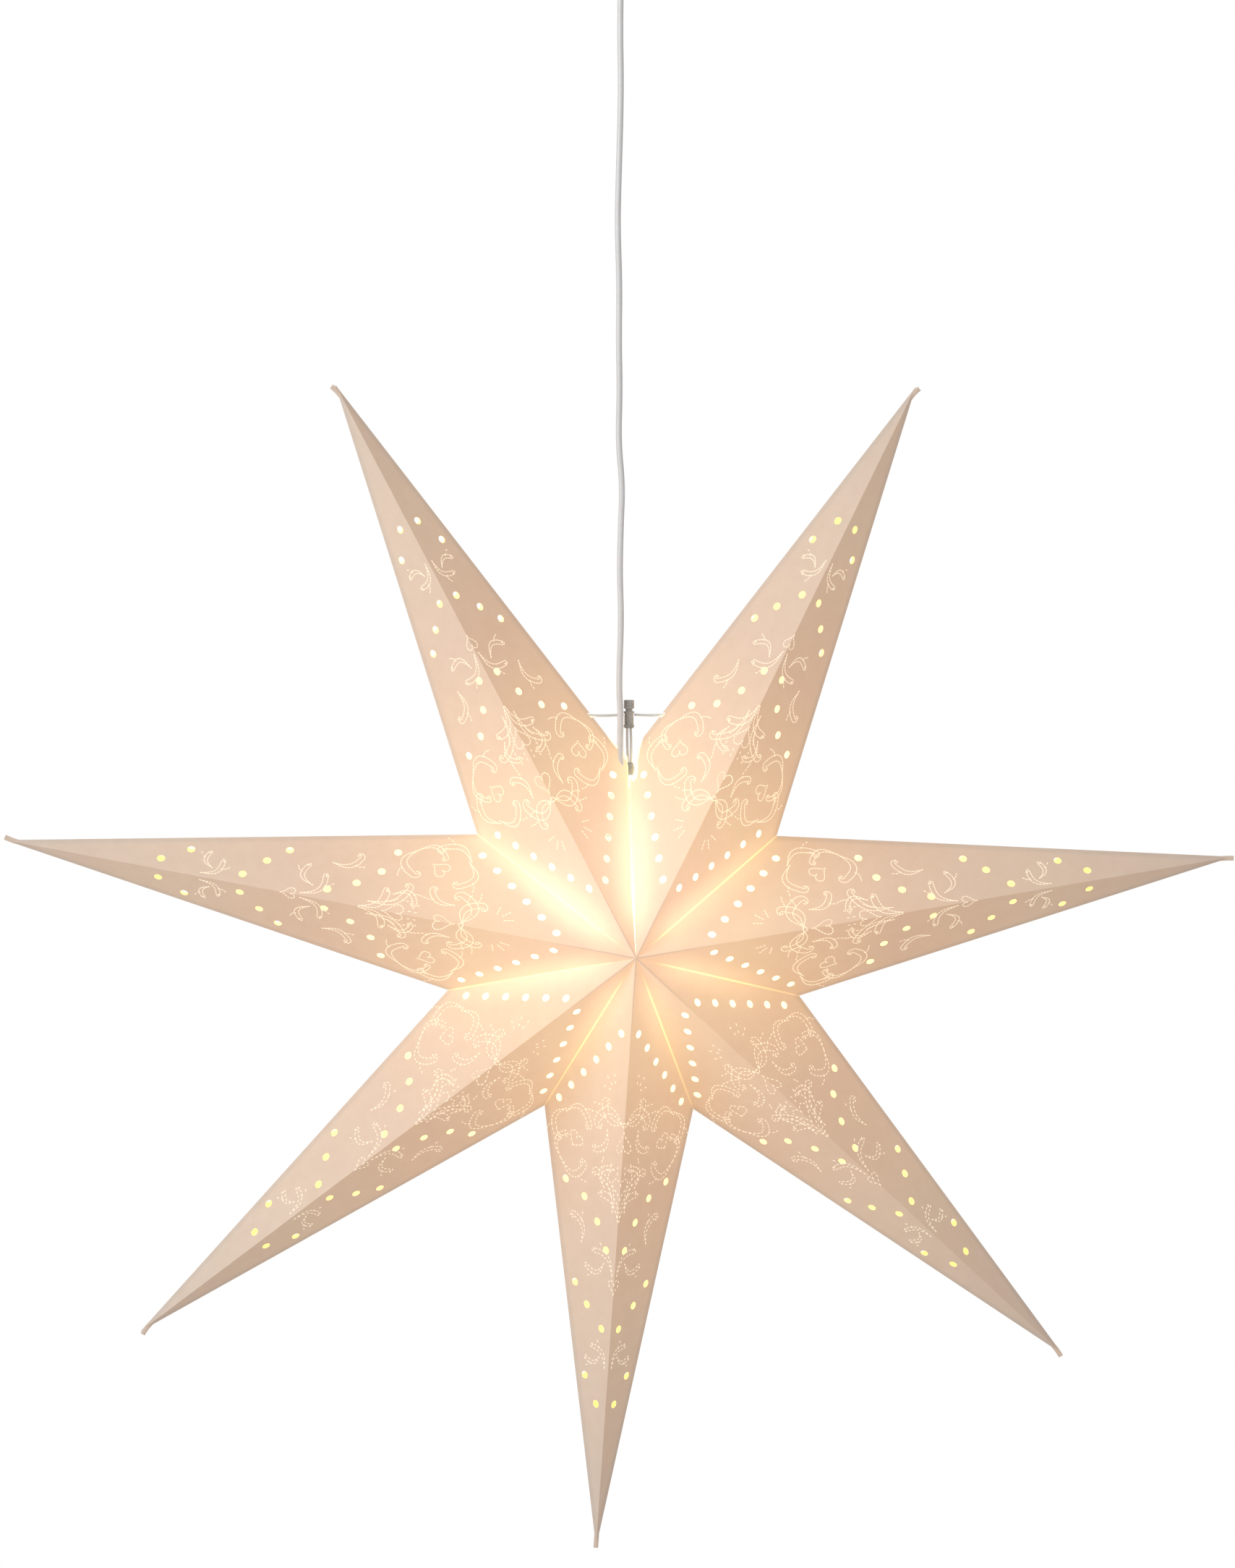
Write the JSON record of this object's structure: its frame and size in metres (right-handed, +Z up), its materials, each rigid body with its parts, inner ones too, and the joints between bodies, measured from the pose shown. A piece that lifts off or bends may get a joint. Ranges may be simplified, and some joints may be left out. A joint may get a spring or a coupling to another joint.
{
  "type": "paper star pendant lantern",
  "caption": "Folded paper star lantern with pierced, scored arms, hung on a lit lampholder cable, that folds flat like a fan for storage.",
  "frame": {"origin": "centre of the ceiling plate's top face, where the star is fastened to the ceiling", "axes": "+Z up, the star's front looks along -Y, +X to the right as seen from the front"},
  "size_m": [0.7007, 0.1284, 0.974],
  "materials": {
    "star_paper": "matte uncoated card, lit from behind",
    "string_white": "braided cotton",
    "lock_plastic": "smoky clear moulded plastic",
    "spring_steel": "bright wire",
    "cable_white": "soft white PVC jacket",
    "core_insulation": "brown and blue core insulation",
    "holder_white": "moulded white plastic",
    "holder_core": "unglazed",
    "contact_brass": "bright stamped brass",
    "screw_steel": "zinc plated",
    "bulb_metal": "rolled thread",
    "bulb_frosted": "frosted, lit",
    "filament": "coated light filament, lit",
    "cup_white": "moulded white plastic",
    "collar_nylon": "nylon"
  },
  "bodies": {
    "hanging_light": {"ceiling_plate": "screw_steel", "cord_cleat": "collar_nylon", "cleat_screws": "screw_steel", "terminal_block": "holder_white", "terminal_screws": "screw_steel", "mains_cable": "cable_white", "cable_cores": "core_insulation", "lampholder_cap": "holder_white", "lampholder_cord_grip": "holder_white", "lampholder_insert": "holder_core", "lampholder_screw_shell": "contact_brass", "lampholder_centre_contact": "contact_brass", "lampholder_terminal_screws": "screw_steel", "lampholder_skirt": "holder_white"},
    "arm_1_front_left": {"arm_1_front_left": "star_paper", "tie_string_right": "string_white", "cord_lock_barrel": "lock_plastic", "cord_lock_spring": "spring_steel", "string_tails": "string_white", "cord_end_bell": "lock_plastic"},
    "arm_1_front_right": {"arm_1_front_right": "star_paper"},
    "arm_1_back_left": {"arm_1_back_left": "star_paper"},
    "arm_1_back_right": {"arm_1_back_right": "star_paper"},
    "arm_2_front_left": {"arm_2_front_left": "star_paper"},
    "arm_2_front_right": {"arm_2_front_right": "star_paper"},
    "arm_2_back_left": {"arm_2_back_left": "star_paper"},
    "arm_2_back_right": {"arm_2_back_right": "star_paper"},
    "arm_3_front_left": {"arm_3_front_left": "star_paper"},
    "arm_3_front_right": {"arm_3_front_right": "star_paper"},
    "arm_3_back_left": {"arm_3_back_left": "star_paper"},
    "arm_3_back_right": {"arm_3_back_right": "star_paper"},
    "arm_4_front_left": {"arm_4_front_left": "star_paper"},
    "arm_4_front_right": {"arm_4_front_right": "star_paper"},
    "arm_4_back_left": {"arm_4_back_left": "star_paper"},
    "arm_4_back_right": {"arm_4_back_right": "star_paper"},
    "arm_5_front_left": {"arm_5_front_left": "star_paper"},
    "arm_5_front_right": {"arm_5_front_right": "star_paper"},
    "arm_5_back_left": {"arm_5_back_left": "star_paper"},
    "arm_5_back_right": {"arm_5_back_right": "star_paper"},
    "arm_6_front_left": {"arm_6_front_left": "star_paper"},
    "arm_6_front_right": {"arm_6_front_right": "star_paper"},
    "arm_6_back_left": {"arm_6_back_left": "star_paper"},
    "arm_6_back_right": {"arm_6_back_right": "star_paper"},
    "arm_7_front_left": {"arm_7_front_left": "star_paper"},
    "arm_7_front_right": {"arm_7_front_right": "star_paper", "tie_string_left": "string_white"},
    "arm_7_back_left": {"arm_7_back_left": "star_paper"},
    "arm_7_back_right": {"arm_7_back_right": "star_paper"},
    "cord_lock_button": {"cord_lock_button": "lock_plastic"},
    "bulb": {"bulb_base": "bulb_metal", "bulb_tip_contact": "bulb_metal", "bulb_glass": "bulb_frosted", "bulb_filaments": "filament"},
    "ceiling_cup": {"ceiling_cup": "cup_white", "cup_collar": "collar_nylon", "cup_grub_screw": "screw_steel"}
  },
  "joints": [
    {"name": "fold_arm_4_left", "type": "hinge", "parent": "hanging_light", "child": "arm_4_front_left", "pos_m": [-0.00547, -0.03087, -0.79721], "axis": [0.0481, -0.1801, 0.9825], "range_deg": [0, 39.41]},
    {"name": "fold_arm_4_right", "type": "hinge", "parent": "hanging_light", "child": "arm_4_front_right", "pos_m": [-0.00547, -0.03086, -0.79721], "axis": [-0.0481, 0.1801, -0.9825], "range_deg": [0, 38.54]},
    {"name": "valley_4_5", "type": "hinge", "parent": "arm_4_front_right", "child": "arm_5_front_left", "pos_m": [-0.02014, -0.0313, -0.66702], "axis": [0.3781, -0.5264, 0.7616], "range_deg": [0, 94.6]},
    {"name": "ridge_5", "type": "hinge", "parent": "arm_5_front_left", "child": "arm_5_front_right", "pos_m": [-0.13565, -0.03087, -0.73045], "axis": [-0.7698, 0.1801, -0.6123], "range_deg": [0, 78.71]},
    {"name": "valley_5_6", "type": "hinge", "parent": "arm_5_front_right", "child": "arm_6_front_left", "pos_m": [-0.04758, -0.0313, -0.63332], "axis": [0.8224, -0.5264, 0.2158], "range_deg": [0, 94.35]},
    {"name": "ridge_6", "type": "hinge", "parent": "arm_6_front_left", "child": "arm_6_front_right", "pos_m": [-0.17153, -0.03087, -0.58919], "axis": [-0.9687, 0.1801, 0.1708], "range_deg": [0, 80.76]},
    {"name": "valley_6_7", "type": "hinge", "parent": "arm_6_front_right", "child": "arm_7_front_left", "pos_m": [-0.03906, -0.0313, -0.58885], "axis": [0.6844, -0.5264, -0.5046], "range_deg": [0, 99.63]},
    {"name": "ridge_7", "type": "hinge", "parent": "arm_7_front_left", "child": "arm_7_front_right", "pos_m": [-0.07818, -0.03088, -0.46234], "axis": [-0.4511, 0.1801, 0.8741], "range_deg": [0, 82.62]},
    {"name": "valley_3_4", "type": "hinge", "parent": "arm_4_front_left", "child": "arm_3_front_right", "pos_m": [0.02261, -0.0313, -0.66878], "axis": [0.3144, 0.5264, -0.79], "range_deg": [0, 94.88]},
    {"name": "ridge_3", "type": "hinge", "parent": "arm_3_front_right", "child": "arm_3_front_left", "pos_m": [0.13104, -0.03087, -0.74302], "axis": [-0.7088, -0.1801, 0.6821], "range_deg": [0, 79.94]},
    {"name": "valley_2_3", "type": "hinge", "parent": "arm_3_front_left", "child": "arm_2_front_right", "pos_m": [0.0531, -0.0313, -0.63631], "axis": [0.8082, 0.5264, -0.2642], "range_deg": [0, 97.8]},
    {"name": "ridge_2", "type": "hinge", "parent": "arm_2_front_right", "child": "arm_2_front_left", "pos_m": [0.17918, -0.03087, -0.59746], "axis": [-0.9757, -0.1801, -0.125], "range_deg": [0, 82.26]},
    {"name": "valley_1_2", "type": "hinge", "parent": "arm_2_front_left", "child": "arm_1_front_right", "pos_m": [0.04636, -0.0313, -0.59011], "axis": [0.699, 0.5264, 0.484], "range_deg": [0, 102.46]},
    {"name": "ridge_1", "type": "hinge", "parent": "arm_1_front_right", "child": "arm_1_front_left", "pos_m": [0.0854, -0.03089, -0.46277], "axis": [-0.4557, -0.1801, -0.8717], "range_deg": [0, 84.06]},
    {"name": "rim_1_left", "type": "hinge", "parent": "arm_1_front_left", "child": "arm_1_back_left", "pos_m": [0.08583, 0.0012, -0.4102], "axis": [0.6155, 0, 0.7882], "range_deg": [0, 82.4]},
    {"name": "rim_1_right", "type": "hinge", "parent": "arm_1_front_right", "child": "arm_1_back_right", "pos_m": [0.1286, 0.0012, -0.43281], "axis": [-0.2932, 0, -0.9561], "range_deg": [0, 83.27]},
    {"name": "rim_2_left", "type": "hinge", "parent": "arm_2_front_left", "child": "arm_2_back_left", "pos_m": [0.22242, 0.0012, -0.56756], "axis": [0.9985, 0, -0.0551], "range_deg": [0, 82.79]},
    {"name": "rim_2_right", "type": "hinge", "parent": "arm_2_front_right", "child": "arm_2_back_right", "pos_m": [0.22916, 0.0012, -0.61376], "axis": [-0.9557, 0, -0.2944], "range_deg": [0, 79.38]},
    {"name": "rim_3_left", "type": "hinge", "parent": "arm_3_front_left", "child": "arm_3_back_left", "pos_m": [0.181, 0.0012, -0.75939], "axis": [0.5899, 0, -0.8075], "range_deg": [0, 80.09]},
    {"name": "rim_3_right", "type": "hinge", "parent": "arm_3_front_right", "child": "arm_3_back_right", "pos_m": [0.15051, 0.0012, -0.79186], "axis": [-0.8251, 0, 0.5651], "range_deg": [0, 77.54]},
    {"name": "rim_4_left", "type": "hinge", "parent": "arm_4_front_left", "child": "arm_4_back_left", "pos_m": [0.01394, 0.0012, -0.84607], "axis": [-0.2135, 0, -0.9769], "range_deg": [0, 77.73]},
    {"name": "rim_4_right", "type": "hinge", "parent": "arm_4_front_right", "child": "arm_4_back_right", "pos_m": [-0.02881, 0.0012, -0.84431], "axis": [-0.1119, 0, 0.9937], "range_deg": [0, 76]},
    {"name": "rim_5_left", "type": "hinge", "parent": "arm_5_front_left", "child": "arm_5_back_left", "pos_m": [-0.15906, 0.0012, -0.77752], "axis": [-0.8765, 0, -0.4814], "range_deg": [0, 78.84]},
    {"name": "rim_5_right", "type": "hinge", "parent": "arm_5_front_right", "child": "arm_5_back_right", "pos_m": [-0.18649, 0.0012, -0.74382], "axis": [0.6718, 0, 0.7407], "range_deg": [0, 76.39]},
    {"name": "rim_6_left", "type": "hinge", "parent": "arm_6_front_left", "child": "arm_6_back_left", "pos_m": [-0.22238, 0.0012, -0.6025], "axis": [-0.9421, 0, 0.3353], "range_deg": [0, 78.1]},
    {"name": "rim_6_right", "type": "hinge", "parent": "arm_6_front_right", "child": "arm_6_back_right", "pos_m": [-0.21386, 0.0012, -0.55802], "axis": [1, 0, 0.0025], "range_deg": [0, 81.13]},
    {"name": "rim_7_left", "type": "hinge", "parent": "arm_7_front_left", "child": "arm_7_back_left", "pos_m": [-0.12047, 0.0012, -0.43112], "axis": [-0.2955, 0, 0.9553], "range_deg": [0, 80.96]},
    {"name": "rim_7_right", "type": "hinge", "parent": "arm_7_front_right", "child": "arm_7_back_right", "pos_m": [-0.07861, 0.0012, -0.40977], "axis": [0.61, 0, -0.7924], "range_deg": [0, 81.91]},
    {"name": "cord_lock_press", "type": "slide", "parent": "arm_1_front_left", "child": "cord_lock_button", "axis": [0, 0, -1], "range_m": [0, 0.0016], "stiffness_N_per_m": 120, "springref_m": -0.0012, "deforming": ["cord_lock_spring"]},
    {"name": "bulb_unscrew", "type": "hinge", "parent": "hanging_light", "child": "bulb", "pos_m": [0.0032, 0.0012, -0.617], "axis": [0, 0, -1], "range_deg": [0, 900]},
    {"name": "ceiling_cup_slide", "type": "slide", "parent": "hanging_light", "child": "ceiling_cup", "axis": [0, 0, -1], "range_m": [0, 0.055]}
  ],
  "couplings": [
    {"joint": "fold_arm_4_right", "follows": "fold_arm_4_left", "ratio": 0.97756},
    {"joint": "valley_4_5", "follows": "fold_arm_4_left", "ratio": 2.4001},
    {"joint": "ridge_5", "follows": "fold_arm_4_left", "ratio": 1.997},
    {"joint": "valley_5_6", "follows": "fold_arm_4_left", "ratio": 2.394},
    {"joint": "ridge_6", "follows": "fold_arm_4_left", "ratio": 2.049},
    {"joint": "valley_6_7", "follows": "fold_arm_4_left", "ratio": 2.528},
    {"joint": "ridge_7", "follows": "fold_arm_4_left", "ratio": 2.0962},
    {"joint": "valley_3_4", "follows": "fold_arm_4_left", "ratio": 2.4074},
    {"joint": "ridge_3", "follows": "fold_arm_4_left", "ratio": 2.0282},
    {"joint": "valley_2_3", "follows": "fold_arm_4_left", "ratio": 2.4814},
    {"joint": "ridge_2", "follows": "fold_arm_4_left", "ratio": 2.0871},
    {"joint": "valley_1_2", "follows": "fold_arm_4_left", "ratio": 2.5998},
    {"joint": "ridge_1", "follows": "fold_arm_4_left", "ratio": 2.1327},
    {"joint": "rim_1_left", "follows": "fold_arm_4_left", "ratio": 2.0907},
    {"joint": "rim_1_right", "follows": "fold_arm_4_left", "ratio": 2.1126},
    {"joint": "rim_2_left", "follows": "fold_arm_4_left", "ratio": 2.1004},
    {"joint": "rim_2_right", "follows": "fold_arm_4_left", "ratio": 2.014},
    {"joint": "rim_3_left", "follows": "fold_arm_4_left", "ratio": 2.032},
    {"joint": "rim_3_right", "follows": "fold_arm_4_left", "ratio": 1.9673},
    {"joint": "rim_4_left", "follows": "fold_arm_4_left", "ratio": 1.9721},
    {"joint": "rim_4_right", "follows": "fold_arm_4_left", "ratio": 1.9283},
    {"joint": "rim_5_left", "follows": "fold_arm_4_left", "ratio": 2.0003},
    {"joint": "rim_5_right", "follows": "fold_arm_4_left", "ratio": 1.9382},
    {"joint": "rim_6_left", "follows": "fold_arm_4_left", "ratio": 1.9816},
    {"joint": "rim_6_right", "follows": "fold_arm_4_left", "ratio": 2.0583},
    {"joint": "rim_7_left", "follows": "fold_arm_4_left", "ratio": 2.054},
    {"joint": "rim_7_right", "follows": "fold_arm_4_left", "ratio": 2.0781}
  ]
}
